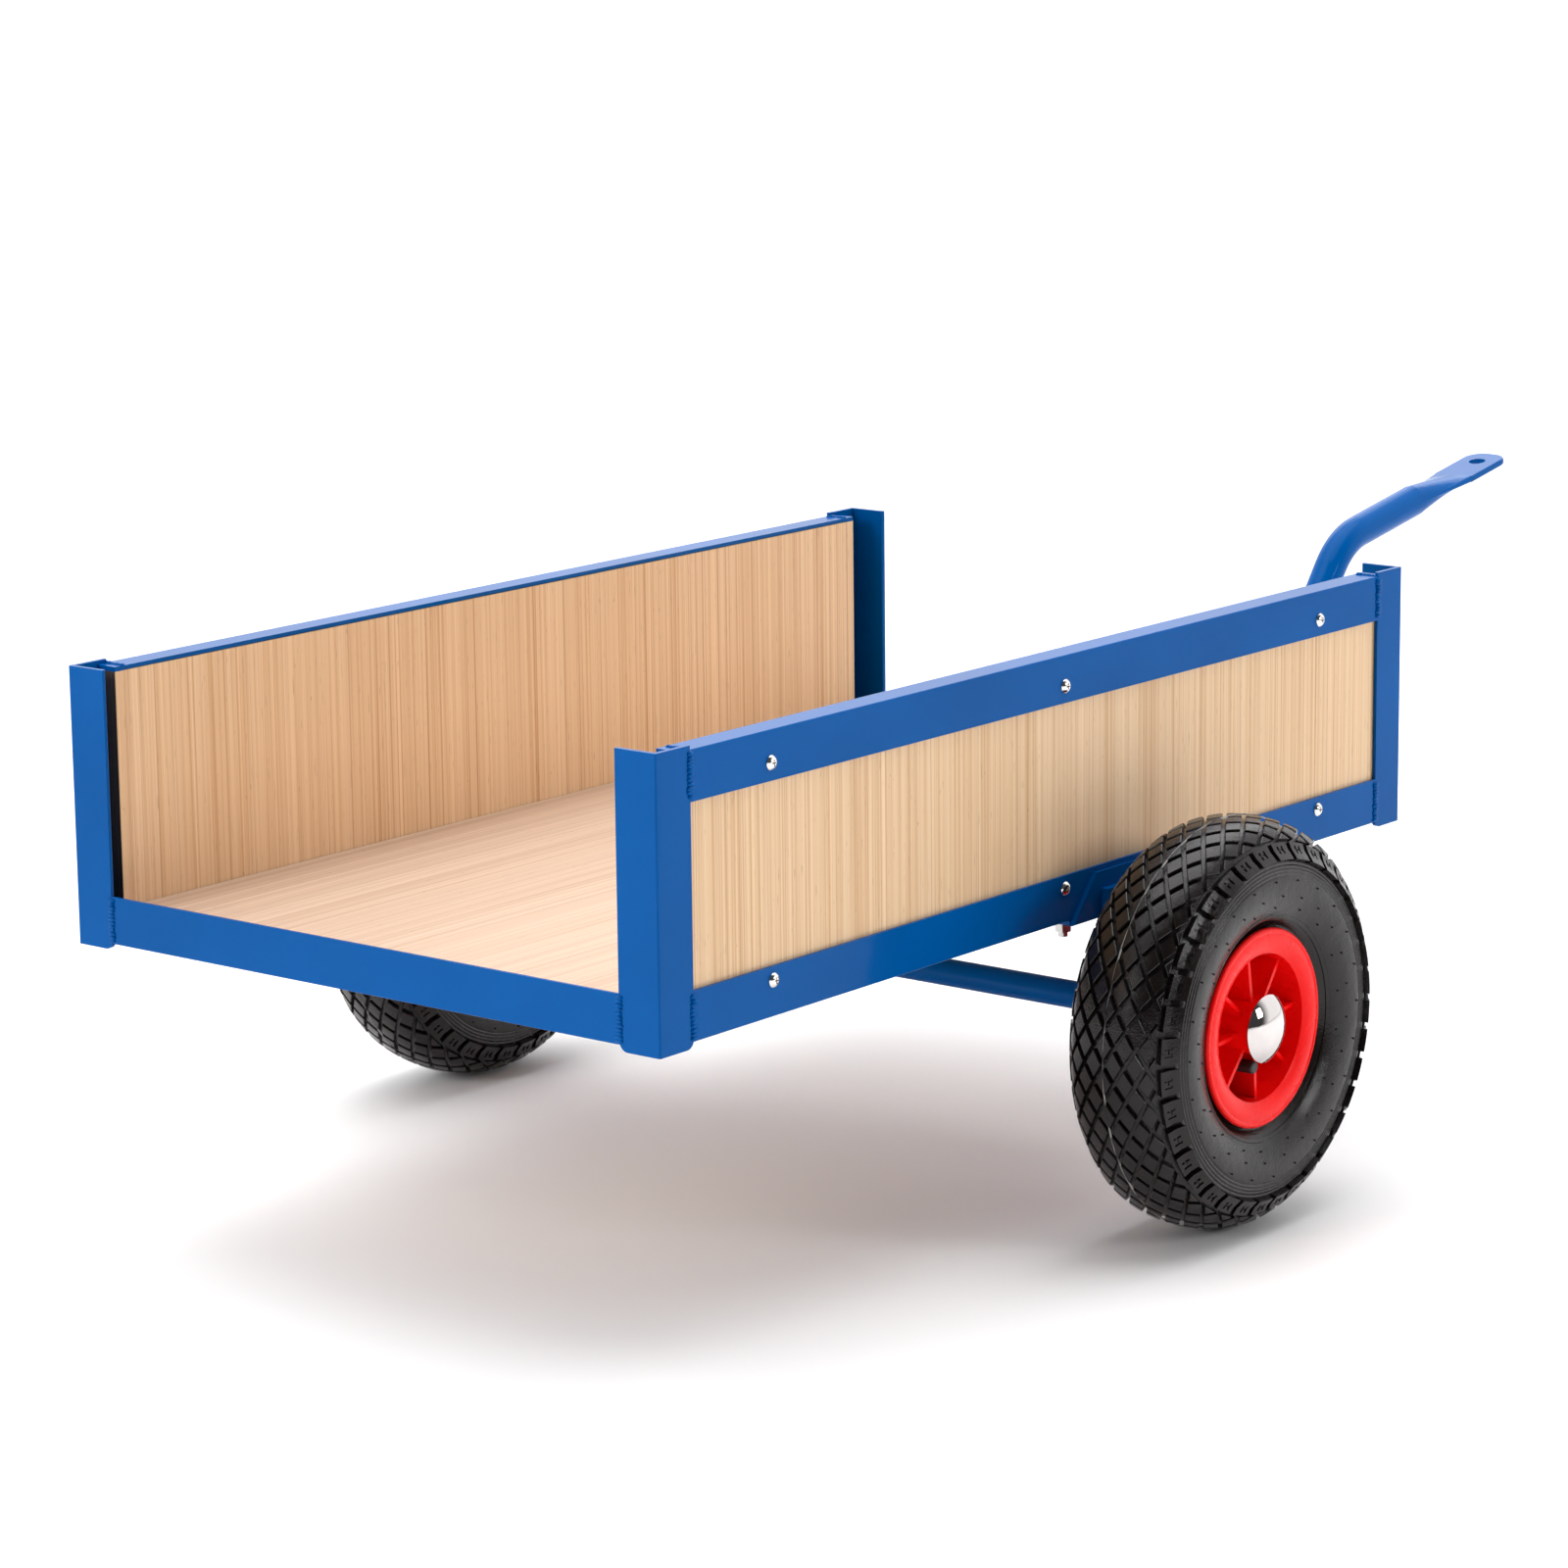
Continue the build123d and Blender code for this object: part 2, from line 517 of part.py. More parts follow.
def rim():
    """One-piece plastic rim: flanged barrel, web, hub and ribs."""
    inner = RIM_HALF - BARREL_WALL
    barrel = disc(inner, BEAD_R) - disc(inner + 1, BARREL_R)
    barrel = barrel + flange(-1) + flange(1)
    hub = disc(HUB_HALF, HUB_R)
    web = disc(WEB_WALL / 2, BARREL_R + BARREL_WALL / 2)
    ribs = [rib(index) for index in range(RIB_COUNT)]
    body = barrel + hub + web + ribs
    body -= disc(HUB_HALF + 1, JOURNAL_D / 2 + BORE_ROOM)
    for end in (-1, 1):
        body -= rod(BUSH_R, (end * (HUB_HALF - BUSH_LENGTH), 0, 0), (end * (HUB_HALF + 1), 0, 0))
    return body - valve_pocket()


def flange(end):
    """Rolled edge of the rim, at its outer (1) or inner (-1) side."""
    inner = end * (RIM_HALF - BARREL_WALL)
    top, nose, root = FLANGE_ROLL
    near, roll, face = FLANGE_FALL
    start = (inner, FLANGE_R - near)
    middle = (end * (RIM_HALF - nose), FLANGE_R - roll)
    foot = (inner + end * root, BARREL_R)
    lip = Polyline((inner, BARREL_R), start)
    lip += ThreePointArc(start, (inner + end * top, FLANGE_R), middle)
    lip += ThreePointArc(middle, (end * RIM_HALF, FLANGE_R - face), foot)
    lip += Line(foot, (inner, BARREL_R))
    return spin(lip)


def rib(index):
    outer, inner = RIM_HALF - RIB_OUTER_INSET, HUB_HALF - RIB_INNER_INSET
    outline = Polyline((-outer, BARREL_R + RIB_LAP), (outer, BARREL_R + RIB_LAP), (inner, HUB_R - RIB_LAP),
                       (-inner, HUB_R - RIB_LAP), close=True)
    plate = extrude(Plane.XZ * make_face(outline), RIB_WALL / 2, both=True)
    return Rot(RIB_PHASE + index * 360 / RIB_COUNT, 0, 0) * plate


def valve_frame():
    """Turns straight down to the valve's own direction."""
    return Rot(VALVE_ANGLE, 0, 0)


def valve_pocket():
    """Hole in the barrel and room in the web for the valve."""
    radius = VALVE_D / 2 + SOFT_GAP
    hole = rod(radius, (VALVE_X, 0, -VALVE_SEAT_R), (VALVE_X, 0, -BEAD_R - 2))
    return valve_frame() * hole


def valve_stem():
    """Rubber-covered stem: out of the tube, through the barrel, then turned outwards."""
    bottom = -(BEAD_R + VALVE_IN)
    corners = ((VALVE_X, 0, bottom), (VALVE_X, 0, -VALVE_SEAT_R), (VALVE_X + VALVE_REACH, 0, -VALVE_SEAT_R))
    path = FilletPolyline(*corners, radius=VALVE_BEND)
    start = Plane(origin=path @ 0, z_dir=path % 0)
    return valve_frame() * sweep(start * Circle(VALVE_D / 2), path=path)


def valve_cap():
    stem_end = VALVE_X + VALVE_REACH
    mouth = stem_end - VALVE_CAP_LAP
    outer = rod(VALVE_CAP_D / 2, (mouth, 0, -VALVE_SEAT_R), (mouth + VALVE_CAP_H, 0, -VALVE_SEAT_R))
    outer = fillet(outer.edges().sort_by(Axis.X)[-1], VALVE_CAP_ROUND)
    outer -= rod(VALVE_D / 2, (mouth - 1, 0, -VALVE_SEAT_R), (stem_end, 0, -VALVE_SEAT_R))
    return valve_frame() * outer


def hub_bush(end):
    face = end * HUB_HALF
    sleeve = rod(BUSH_R, (end * (HUB_HALF - BUSH_LENGTH), 0, 0), (face, 0, 0))
    sleeve += rod(BUSH_FLANGE_R, (face, 0, 0), (face + end * BUSH_FLANGE_H, 0, 0))
    return sleeve - rod(JOURNAL_D / 2 + RUNNING_FIT, (0, 0, 0), (2 * face, 0, 0))


def hub_bushes():
    return Compound([hub_bush(-1), hub_bush(1)])


def hub_cap():
    """Domed push-on cap that grips the end of the journal and keeps the wheel on."""
    base = HUB_HALF + BUSH_FLANGE_H + END_PLAY
    radius = CAP_D / 2
    top = base + CAP_HEIGHT
    knee_x = base + CAP_HEIGHT * CAP_KNEE[0]
    knee_r = radius * CAP_KNEE[1]
    skirt = (base + CAP_SKIRT, radius)
    floor = (base + CAP_WALL, radius - CAP_LIP)
    outer = ThreePointArc((top, 0), (knee_x, knee_r), skirt)
    inner = ThreePointArc((top - CAP_WALL, 0), (knee_x - CAP_WALL, knee_r), floor)
    outline = outer + Line(skirt, (base, radius - CAP_UNDERCUT))
    outline += Polyline((base, radius - CAP_UNDERCUT), (base, JOURNAL_D / 2), (base + CAP_WALL, JOURNAL_D / 2),
                        floor)
    outline += inner + Line((top - CAP_WALL, 0), (top, 0))
    return spin(outline)


def thrust_washer():
    x1 = -(HUB_HALF + BUSH_FLANGE_H + END_PLAY)
    shape = rod(BUSH_FLANGE_R, (x1 - WASHER_WALL, 0, 0), (x1, 0, 0))
    return shape - rod(JOURNAL_D / 2 + WASHER_PLAY, (x1 - WASHER_WALL - 1, 0, 0), (x1 + 1, 0, 0))


# ---------------------------------------------------------------- the whole cart
def build():
    parts = {}
    rear = both_sides(corner_post())
    for side, post in rear.items():
        parts[f"rear_post_{side}"] = post
        parts[f"front_post_{side}"] = mirror(post, about=Plane.XZ)
    pairs = {"bottom_rail": bottom_rail(), "top_rail": top_rail(), "side_panel": side_panel(),
             "axle_bracket": axle_bracket(), "axle_plate": axle_plate()}
    for name, shape in pairs.items():
        for side, piece in both_sides(shape).items():
            parts[f"{name}_{side}"] = piece
    parts["front_cross_member"] = cross_member(-1)
    parts["rear_cross_member"] = cross_member(1)
    parts["floor_panel"] = floor_panel()
    screws = Compound([panel_screw(y, z) for y, z in screw_places()])
    for side, group in both_sides(screws).items():
        parts[f"panel_screws_{side}"] = group
    parts["axle_bar"] = axle_bar()
    parts["drawbar"] = drawbar()

    bolts, washers, nuts = [], [], []
    low = RAIL_Z - ANGLE_WALL
    for side in (-1, 1):
        for y in bolt_rows():
            x = side * (HALF_W - BOLT_SIDE_INSET)
            bolts.append(countersunk_bolt(x, y, BOLT_D, BOLT_LENGTH))
            washers.append(ring(WASHER_D, BOLT_D / 2 + HOLE_CLEARANCE, x, y, low, WASHER_H))
            nuts.append(hex_nut(NUT_AF, BOLT_D, x, y, low - WASHER_H, NUT_H))
    parts["bracket_bolts"] = Compound(bolts)
    parts["bracket_washers"] = Compound(washers)
    parts["bracket_nuts"] = Compound(nuts)
    bar_low = RAIL_Z - BAR_D
    bolt_length = ANGLE_WALL + BAR_D + BAR_NUT_H + THREAD_PAST_NUT
    parts["drawbar_bolt"] = countersunk_bolt(0, BAR_BOLT_Y, BAR_BOLT_D, bolt_length)
    parts["drawbar_nut"] = hex_nut(BAR_NUT_AF, BAR_BOLT_D, 0, BAR_BOLT_Y, bar_low, BAR_NUT_H)

    wheel = {"tyre": tyre(), "inner_tube": inner_tube(), "rim": rim(), "hub_bushes": hub_bushes(),
             "valve_stem": valve_stem(), "valve_cap": valve_cap(), "hub_cap": hub_cap(),
             "thrust_washer": thrust_washer()}
    for name, shape in wheel.items():
        for side, piece in both_sides(Pos(WHEEL_X, AXLE_Y, TYRE_R) * shape).items():
            parts[f"{name}_{side}"] = piece
    return parts


os.makedirs("parts", exist_ok=True)
for name, shape in build().items():
    export_step(Pos(0, -MIDDLE_Y, 0) * shape, f"parts/{name}.step")
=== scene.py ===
import json
import math

import bmesh
import bpy
from mathutils import Matrix, Vector, noise


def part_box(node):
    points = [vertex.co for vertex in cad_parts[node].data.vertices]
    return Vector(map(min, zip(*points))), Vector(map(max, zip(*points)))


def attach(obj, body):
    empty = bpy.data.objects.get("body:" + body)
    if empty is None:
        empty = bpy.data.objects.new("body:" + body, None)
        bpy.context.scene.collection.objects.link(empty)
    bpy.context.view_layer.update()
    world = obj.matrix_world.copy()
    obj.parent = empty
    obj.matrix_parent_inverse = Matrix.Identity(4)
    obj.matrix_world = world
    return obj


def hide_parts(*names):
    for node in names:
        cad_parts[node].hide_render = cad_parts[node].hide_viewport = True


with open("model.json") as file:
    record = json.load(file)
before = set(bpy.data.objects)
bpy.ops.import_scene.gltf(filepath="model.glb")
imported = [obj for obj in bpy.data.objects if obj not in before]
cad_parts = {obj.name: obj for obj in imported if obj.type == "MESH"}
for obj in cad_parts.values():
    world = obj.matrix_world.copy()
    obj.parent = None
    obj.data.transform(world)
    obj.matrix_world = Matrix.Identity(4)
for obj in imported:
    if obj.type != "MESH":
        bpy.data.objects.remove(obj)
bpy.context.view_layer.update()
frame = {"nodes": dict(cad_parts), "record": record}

noise.seed_set(7)

MM = 0.001
SKIN = 0.08 * MM                 # thickness counted as a panel's own surface
SIDES = {"left": -1, "right": 1}
ENDS = (("front", -1), ("rear", 1))


# ---------------------------------------------------------------- shader nodes
MIX_SHARE, MIX_FIRST, MIX_SECOND, MIX_RESULT = 0, 6, 7, 2     # a colour mix's sockets, by number


class Amount:
    """A value that varies over a surface, with ordinary arithmetic."""

    def __init__(self, nodes, socket):
        self.nodes = nodes
        self.socket = socket

    def maths(self, operation, *values):
        return self.nodes.node("ShaderNodeMath", {"operation": operation}, dict(enumerate(values)))

    def __add__(self, other):
        return self.maths("ADD", self, other)

    def __sub__(self, other):
        return self.maths("SUBTRACT", self, other)

    def __mul__(self, other):
        return self.maths("MULTIPLY", self, other)

    def __rsub__(self, other):
        return self.maths("SUBTRACT", other, self)

    def __abs__(self):
        return self.maths("ABSOLUTE", self)

    __radd__ = __add__
    __rmul__ = __mul__

    def above(self, edge, blur):
        """0 below edge, 1 above it, with a soft step of width blur."""
        return self.nodes.node("ShaderNodeMapRange", {"interpolation_type": "SMOOTHSTEP"},
                               {"Value": self, "From Min": edge - blur / 2, "From Max": edge + blur / 2})


class Nodes:
    """A node tree that grows one node at a time."""

    def __init__(self, tree):
        self.tree = tree

    def node(self, kind, settings=None, sockets=None, output=0):
        made = self.tree.nodes.new(kind)
        for name, value in (settings or {}).items():
            if name == "stops":
                self.set_stops(made.color_ramp, value)
            else:
                setattr(made, name, value)
        for name, value in (sockets or {}).items():
            self.feed(made.inputs[name], value)
        return Amount(self, made.outputs[output])

    def set_stops(self, ramp, stops):
        while len(ramp.elements) < len(stops):
            ramp.elements.new(1.0)
        for element, (place, colour) in zip(ramp.elements, stops):
            element.position = place
            element.color = (*colour, 1.0)

    def feed(self, socket, value):
        if isinstance(value, Amount):
            self.tree.links.new(value.socket, socket)
        else:
            socket.default_value = value


class Finish(Nodes):
    """One procedural material. Keyword arguments are the shader's own constants."""

    def __init__(self, name, **surface):
        self.material = bpy.data.materials.new(name)
        self.material.use_nodes = True
        super().__init__(self.material.node_tree)
        self.shader = self.tree.nodes["Principled BSDF"]
        for socket, value in surface.items():
            self.set(socket.replace("_", " "), value)

    def set(self, socket, value):
        self.feed(self.shader.inputs[socket], value)

    def place(self):
        """Object coordinates."""
        return self.node("ShaderNodeTexCoord", output="Object")

    def axis(self, letter):
        return self.node("ShaderNodeSeparateXYZ", sockets={"Vector": self.place()}, output=letter)

    def on_ends(self, letter, box):
        """1 on a panel's two surfaces across an axis, and on its mirror image's, 0 elsewhere."""
        index = "XYZ".index(letter)
        low, high = (corner[index] for corner in box)
        place = self.axis(letter) if low < 0 < high else abs(self.axis(letter))
        return abs(place - (low + high) / 2).above((high - low) / 2 - SKIN, SKIN / 2)

    def noise(self, scale, detail=3.0, stretch=(1.0, 1.0, 1.0), rough=0.5):
        place = self.node("ShaderNodeMapping", sockets={"Vector": self.place(), "Scale": stretch})
        return self.node("ShaderNodeTexNoise", {"noise_dimensions": "3D"},
                         {"Vector": place, "Scale": scale, "Detail": detail, "Roughness": rough})

    def ramp(self, value, *stops):
        return self.node("ShaderNodeValToRGB", {"stops": stops}, {"Fac": value})

    def mix(self, share, first, second):
        return self.node("ShaderNodeMix", {"data_type": "RGBA"},
                         {MIX_SHARE: share, MIX_FIRST: self.colour(first), MIX_SECOND: self.colour(second)},
                         output=MIX_RESULT)

    def colour(self, value):
        return value if isinstance(value, Amount) else (*value, 1.0)

    def bump(self, height, distance, strength):
        self.set("Normal", self.node("ShaderNodeBump", sockets={"Height": height, "Distance": distance,
                                                                "Strength": strength}))


def shade(colour, *factors):
    """A colour times one factor, or times a factor for each channel."""
    if len(factors) == 1:
        factors = factors * 3
    return tuple(min(1.0, channel * factor) for channel, factor in zip(colour, factors))


# ---------------------------------------------------------------- finishes
def make_paint():
    """Glossy paint with a faint orange peel and sags."""
    paint = Finish("blue_paint", IOR=1.12, Specular_Tint=(0.2, 0.6, 1.0, 1.0),
                   Coat_Weight=0.12, Coat_Roughness=0.06)
    cloud = paint.noise(9.0)
    paint.set("Base Color", paint.ramp(cloud, (0.3, (0.0, 0.080, 0.305)), (0.7, (0.0, 0.095, 0.360))))
    paint.set("Roughness", 0.14 + 0.10 * paint.noise(35.0))
    peel = paint.noise(420.0, 2.0)
    sag = paint.noise(45.0, 2.0)
    paint.bump(peel * 0.5 + sag, 0.4 * MM, 0.16)
    return paint


def ply_edge(wood, across, box, painted_shade_ends):
    """Light and dark plies, with painted shade making the panel's front and rear end faces near black where
    asked.
    """
    ply = 1.5 * MM
    layer = wood.node("ShaderNodeMath", {"operation": "PINGPONG"}, {0: wood.axis(across), 1: ply})
    edge = wood.mix((layer * (1 / ply)).above(0.5, 0.3), (0.42, 0.25, 0.13), (0.70, 0.50, 0.31))
    edge = wood.mix(wood.noise(300.0) * 0.5, edge, (0.50, 0.32, 0.17))
    # painted shade: the front and rear end faces, in the shadowed slots beside the posts, are mixed towards
    # near black by the given share
    return wood.mix(wood.on_ends("Y", box) * painted_shade_ends, edge, (0.02, 0.015, 0.012))


def make_plywood(name, panel, grain, across, pale, middle, dark, line_share, painted_shade_ends):
    """Rotary-cut veneer: long streaks along the grain, short dark pores, layered edges."""
    wood = Finish(name, Specular_IOR_Level=0.35)
    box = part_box(panel)

    def run(fine, long):
        """Stretch of a pattern that is fine across the grain and long with it."""
        return tuple(long if letter == grain else fine for letter in "XYZ")

    broad = wood.noise(1.0, 3.0, run(60.0, 0.8))
    streak = wood.noise(1.0, 3.0, run(400.0, 1.3), 0.6)
    hair = wood.noise(1.0, 3.0, run(1150.0, 3.5), 0.6)
    cream = wood.noise(1.0, 2.0, run(430.0, 0.9)).above(0.62, 0.12)
    line = wood.noise(1.0, 2.0, run(620.0, 1.1)).above(0.64, 0.12)
    pores = wood.noise(1.0, 2.0, run(1100.0, 75.0)).above(0.70, 0.08)
    ticks = wood.noise(1.0, 2.0, run(460.0, 90.0)).above(0.775, 0.03)
    tone = broad * 0.20 + streak * 0.42 + hair * 0.38
    face = wood.ramp(tone, (0.35, dark), (0.48, middle), (0.62, pale))
    face = wood.mix(cream * 0.4, face, shade(pale, 1.16))
    face = wood.mix(line * line_share, face, shade(dark, 0.72, 0.56, 0.50))
    face = wood.mix(pores * 0.35 + ticks * 0.6, face, (0.19, 0.075, 0.035))
    edge = ply_edge(wood, across, box, painted_shade_ends)
    wood.set("Base Color", wood.mix(wood.on_ends(across, box), edge, face))
    wood.set("Roughness", 0.50 + 0.16 * streak)
    wood.bump(hair * 0.6 + streak * 0.4 - pores * 0.8, 0.25 * MM, 0.25)
    return wood


def make_rubber(name, tint, gloss):
    """Black rubber, dusty grey where a piece's own worn attribute says so."""
    rubber = Finish(name, IOR=1.40)
    black = rubber.ramp(rubber.noise(38.0, 4.0), (0.35, shade(tint, 0.6)), (0.70, tint))
    worn = rubber.node("ShaderNodeAttribute", {"attribute_name": "worn"}, output="Fac")
    rubber.set("Base Color", rubber.mix(worn, black, (0.42, 0.40, 0.38)))
    rubber.set("Roughness", gloss + 0.20 * rubber.noise(90.0, 4.0) + 0.3 * worn)
    rubber.bump(rubber.noise(900.0) * 0.4 + rubber.noise(75.0), 1.1 * MM, 0.5)
    return rubber


def make_red_plastic():
    plastic = Finish("red_plastic", IOR=1.32, Specular_Tint=(1.0, 0.5, 0.5, 1.0))
    cloud = plastic.noise(24.0)
    plastic.set("Base Color", plastic.ramp(cloud, (0.3, (0.88, 0.003, 0.003)), (0.7, (0.98, 0.005, 0.005))))
    plastic.set("Roughness", 0.22 + 0.10 * plastic.noise(60.0))
    plastic.bump(plastic.noise(260.0, 2.0) + plastic.noise(40.0, 2.0), 0.3 * MM, 0.2)
    return plastic


def make_metal(name, tint, gloss, grain):
    metal = Finish(name, Metallic=1.0)
    metal.set("Base Color", metal.ramp(metal.noise(55.0, 4.0), (0.3, shade(tint, 0.86)), (0.7, tint)))
    metal.set("Roughness", gloss + grain * metal.noise(180.0, 4.0))
    metal.bump(metal.noise(300.0), 0.2 * MM, 0.12)
    return metal


def make_plain_plastic(name, tint):
    plastic = Finish(name)
    plastic.set("Base Color", plastic.ramp(plastic.noise(80.0), (0.3, shade(tint, 0.85)), (0.7, tint)))
    plastic.set("Roughness", 0.40 + 0.15 * plastic.noise(140.0))
    plastic.bump(plastic.noise(700.0), 0.2 * MM, 0.2)
    return plastic


FINISHES = {
    "blue_paint": make_paint(),
    # the side panels' end faces get painted shade at a share of 0.9, the floor panel's none
    "side_plywood": make_plywood(
        "side_plywood", "side_panel_right", grain="Z", across="X", pale=(0.85, 0.615, 0.40),
        middle=(0.775, 0.53, 0.315), dark=(0.61, 0.335, 0.160), line_share=0.50, painted_shade_ends=0.9),
    "floor_plywood": make_plywood(
        "floor_plywood", "floor_panel", grain="Y", across="Z", pale=(0.63, 0.475, 0.355),
        middle=(0.575, 0.405, 0.295), dark=(0.47, 0.31, 0.21), line_share=0.3, painted_shade_ends=0.0),
    "bright_screw": make_metal("bright_screw", (0.86, 0.85, 0.83), gloss=0.10, grain=0.10),
    "zinc_plate": make_metal("zinc_plate", (0.66, 0.66, 0.64), gloss=0.26, grain=0.22),
    "tyre_rubber": make_rubber("tyre_rubber", (0.0090, 0.0060, 0.0056), gloss=0.12),
    "tube_rubber": make_rubber("tube_rubber", (0.012, 0.012, 0.012), gloss=0.40),
    "red_plastic": make_red_plastic(),
    "bush_nylon": make_plain_plastic("bush_nylon", (0.75, 0.75, 0.70)),
    "black_plastic": make_plain_plastic("black_plastic", (0.022, 0.022, 0.024)),
    "chrome_cap": make_metal("chrome_cap", (0.70, 0.66, 0.65), gloss=0.02, grain=0.03),
}

for part in frame["record"]["subparts"]:
    mesh = frame["nodes"][part["node"]].data
    mesh.materials.clear()
    mesh.materials.append(FINISHES[part["material_slot"]].material)


# ---------------------------------------------------------------- making pieces
def only(kind, items):
    return [item for item in items if isinstance(item, kind)]


def take_shell(left):
    """Take one loose shell of joined faces out of a set of faces."""
    shell = [left.pop()]
    for face in shell:
        beside = {other for edge in face.edges for other in edge.link_faces} & left
        left -= beside
        shell.extend(beside)
    return shell


def face_outwards(bm):
    """Make each loose shell's faces agree, then turn those that face inwards."""
    bmesh.ops.recalc_face_normals(bm, faces=bm.faces)
    left = set(bm.faces)
    while left:
        shell = take_shell(left)
        near = shell[0].verts[0].co
        volume = sum(face.normal.dot(face.calc_center_median() - near) * face.calc_area() for face in shell)
        if volume < 0:
            bmesh.ops.reverse_faces(bm, faces=shell)


def finish_piece(bm, name, body, slot, sharp_angle, worn=0.0):
    """Turn a finished bmesh into a piece that rides on a body."""
    face_outwards(bm)
    mesh = bpy.data.meshes.new(name)
    bm.to_mesh(mesh)
    bm.free()
    mesh.polygons.foreach_set("use_smooth", [True] * len(mesh.polygons))
    mesh.set_sharp_from_angle(angle=math.radians(sharp_angle))
    mesh.materials.append(FINISHES[slot].material)
    if worn:
        wear = [worn * max(0.0, 0.5 + 2.2 * noise.noise(vert.co * 170)) for vert in mesh.vertices]
        mesh.attributes.new("worn", "FLOAT", "POINT").data.foreach_set("value", wear)
    piece = bpy.data.objects.new(name, mesh)
    bpy.context.scene.collection.objects.link(piece)
    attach(piece, body)
    return piece


# ---------------------------------------------------------------- tyres, in millimetres
PITCHES = 36                     # tread pitches round the tyre
SPIN_STEPS = PITCHES * 4
CROWN_R = 130.0
ROUND_PITCH = CROWN_R * math.radians(360 / PITCHES)
DIAMOND_WIDTH = 14.4             # across the tread
COLUMNS = 2.5                    # diamonds from the mould seam to the shoulder
GROOVE = 2.7
TREAD_DEPTH = 3.1
CHAMFER, CHAMFER_DROP = 0.5, 0.35
ROOT = 0.8                       # blocks reach this far into the casing
STRAY_AREA = 5.0                 # less than any whole or half diamond

# Distances from the crown along the surface. The tread's depth fades out between the two FADE values.
LUG_ACROSS = (37.4, 39.6, 41.6, 42.6, 44.6, 48.5)
FADE_START, FADE_END = 41.0, 50.0
RINGS_WIDTH, RING_PITCH, RING_DEPTH = 9.0, 2.25, 0.5
RIDGE_START, RIDGE_END, RIDGE_HEIGHT = 5.5, 2.5, 0.7     # beside the rim, back from the last point
NIB_RINGS = ((61.0, 24, 0.0), (71.0, 24, 0.4), (78.5, 18, 0.2))     # distance, count, phase
NIB_FOOT, NIB_TIP, NIB_LENGTH, NIB_LIFT = 0.8 * MM, 0.5 * MM, 1.4 * MM, 0.3 * MM     # in metres

LUG_ROUND = (0.11, 0.31, 0.40, 0.54, 0.63, 0.89)         # shares of a pitch
LUG_MIDDLE, JOINER_HALF, SLOT_OUTER = 47, 8, 19          # hundredths of a pitch
LUG_SLANT, LUG_RISE, SLOT_DEPTH = 1.4, 0.9, 0.9

# Section as (across from the middle, radius), crown to rim and then back inside to under the crown.
OUTER_SHAPE = ((0, 130), (8, 129.6), (16, 128.2), (23, 125.8), (28, 122.4), (32, 117.8), (34.8, 112.6),
               (36.9, 106.6), (38.5, 99.5), (39.2, 92), (38.5, 84), (36.2, 76.5), (33.0, 71.0), (29.8, 67.4))
FOOT_SHAPE = ((27.2, 65.6), (26.4, 64.0), (26.4, 51.3), (19.6, 51.3), (19.6, 64.0), (25.5, 72.0),
              (31.5, 84.0), (32.3, 95.0), (28.0, 108.0), (18.0, 117.0), (0, 120.0))
CURVE_STEPS = 8
OUTLINE_STEPS = 220


def smooth_line(points, steps):
    """Catmull-Rom line through points, extended evenly at its ends."""
    points = [Vector(p) for p in points]
    points = [2 * points[0] - points[1], *points, 2 * points[-1] - points[-2]]
    line = []
    for a, b, c, d in zip(points, points[1:], points[2:], points[3:]):
        for step in range(steps):
            t = step / steps
            line.append(0.5 * (2 * b + (c - a) * t + (2 * a - 5 * b + 4 * c - d) * t * t
                               + (3 * b - a - 3 * c + d) * t ** 3))
    return [*line, points[-2]]


def outer_line():
    """The outside from the crown outwards. It starts one point across the crown, to be level there."""
    across, radius = OUTER_SHAPE[1]
    return smooth_line([(-across, radius), *OUTER_SHAPE], CURVE_STEPS)[CURVE_STEPS:]


OUTER = outer_line()
REACH = [0.0]                    # distance along OUTER to each of its points
for near, far in zip(OUTER, OUTER[1:]):
    REACH.append(REACH[-1] + (far - near).length)


def skin(distance):
    """Point and outward direction of the tyre's surface at a distance from the crown, in (x, radius)."""
    length = min(abs(distance), REACH[-1] - 1e-6)
    index = max(i for i, reach in enumerate(REACH) if reach <= length)
    along = (OUTER[index + 1] - OUTER[index]).normalized()
    point = OUTER[index] + along * (length - REACH[index])
    outward = Vector((-along.y, along.x))
    sign = math.copysign(1.0, distance)
    return Vector((point.x * sign, point.y)), Vector((outward.x * sign, outward.y))


def depth_at(distance):
    """How far the casing lies under the tread's top."""
    share = min(max((abs(distance) - FADE_START) / (FADE_END - FADE_START), 0.0), 1.0)
    return TREAD_DEPTH * (1 - share * share * (3 - 2 * share))


def ring_at(distance):
    """Fine grooves round the shoulder, and a raised line beside the rim."""
    if FADE_END < distance < FADE_END + RINGS_WIDTH:
        return -RING_DEPTH * (0.5 - 0.5 * math.cos((distance - FADE_END) * 2 * math.pi / RING_PITCH))
    if REACH[-1] - RIDGE_START < distance < REACH[-1] - RIDGE_END:
        return RIDGE_HEIGHT
    return 0.0


def wrap(bm, hub):
    """Bend flat stock (across the tread, round the tyre, height) on to the tyre."""
    for vert in bm.verts:
        distance, turn, height = vert.co
        point, outward = skin(distance)
        point = point + outward * (height - depth_at(distance))
        angle = turn / CROWN_R
        vert.co = hub + MM * Vector((point.x, point.y * math.sin(angle), point.y * math.cos(angle)))


def spin_outline(bm, outline, hub):
    """Turn a closed outline of (x, radius) points round the axle."""
    verts = [bm.verts.new(hub + MM * Vector((x, 0, r))) for x, r in outline]
    edges = [bm.edges.new(pair) for pair in zip(verts, verts[1:] + verts[:1])]
    bmesh.ops.spin(bm, geom=verts + edges, cent=hub, axis=(1, 0, 0), angle=2 * math.pi,
                   steps=SPIN_STEPS, use_merge=True)
    bmesh.ops.remove_doubles(bm, verts=bm.verts, dist=1e-6)


